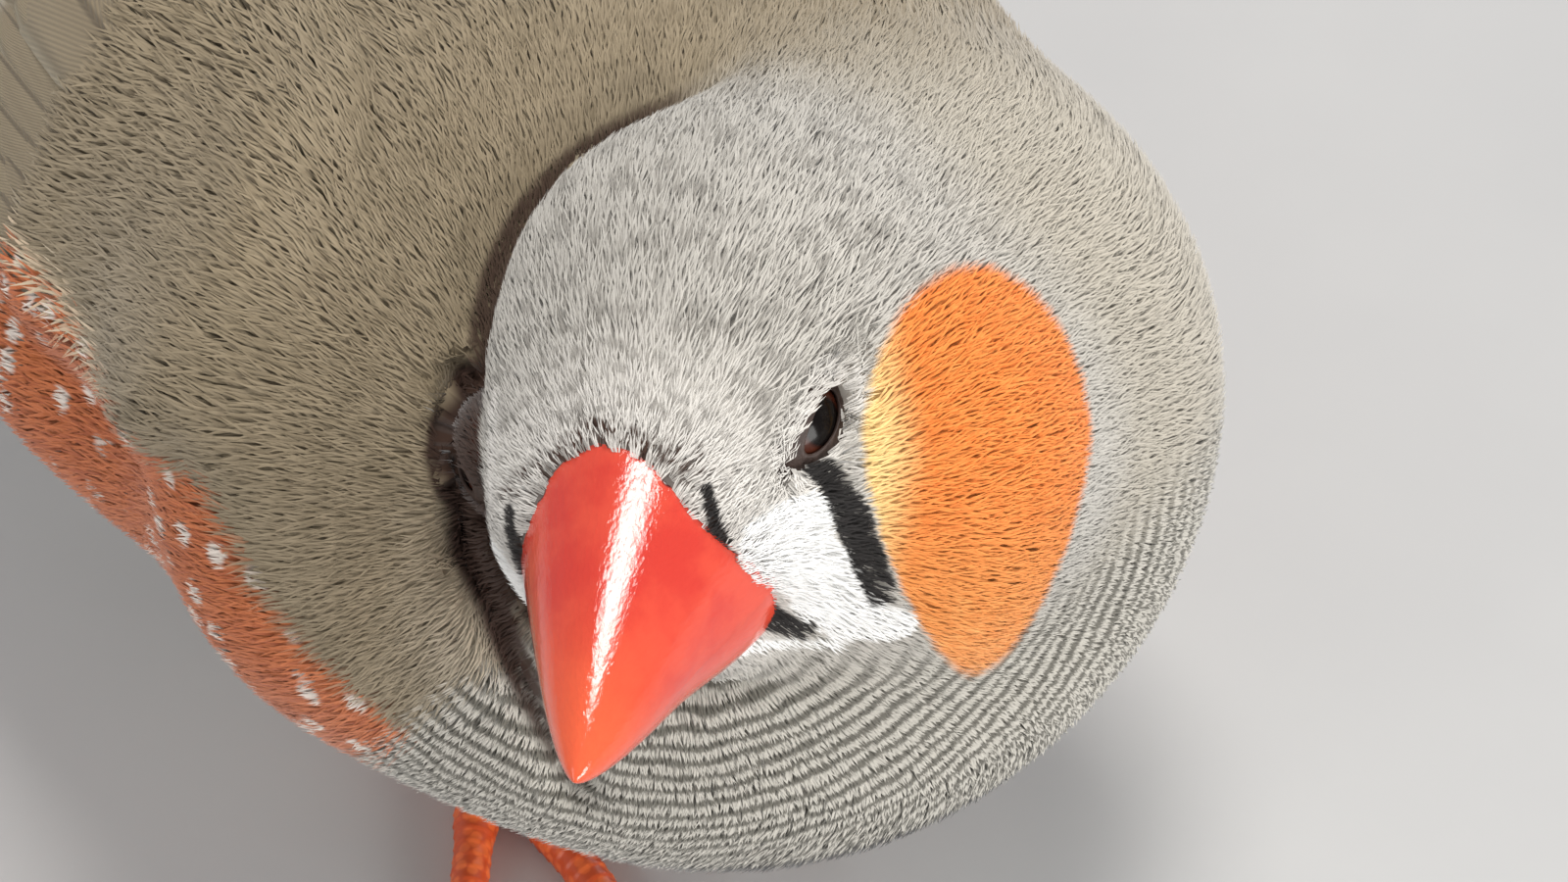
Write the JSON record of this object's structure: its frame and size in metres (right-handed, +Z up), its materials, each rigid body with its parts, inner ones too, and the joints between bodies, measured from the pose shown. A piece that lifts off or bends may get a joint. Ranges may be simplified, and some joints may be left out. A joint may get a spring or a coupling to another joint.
{
  "type": "zebra finch",
  "caption": "Life-size still model of a male zebra finch that dozes on both feet, feathers fluffed, with its head turned to its right.",
  "frame": {"origin": "on the floor under the middle of the bird's bounding box", "axes": "+Z up, the body faces -Y, its left side is +X"},
  "size_m": [0.039, 0.0968, 0.0426],
  "materials": {
    "grey_plumage": "matte feathers",
    "brown_plumage": "matte feathers",
    "pale_plumage": "matte feathers",
    "tail_plumage": "satin feathers",
    "bill_horn": "waxy satin horn",
    "eye_gloss": "wet gloss",
    "leg_skin": "satin scaled skin"
  },
  "bodies": {
    "root": {"head": "grey_plumage", "neck": "grey_plumage", "torso": "pale_plumage", "tail": "tail_plumage", "wing_left": "brown_plumage", "wing_right": "brown_plumage", "bill_upper": "bill_horn", "bill_lower": "bill_horn", "eye_left": "eye_gloss", "eye_right": "eye_gloss", "thigh_left": "pale_plumage", "thigh_right": "pale_plumage", "tarsus_left": "leg_skin", "tarsus_right": "leg_skin", "foot_left": "leg_skin", "foot_right": "leg_skin"}
  },
  "joints": []
}
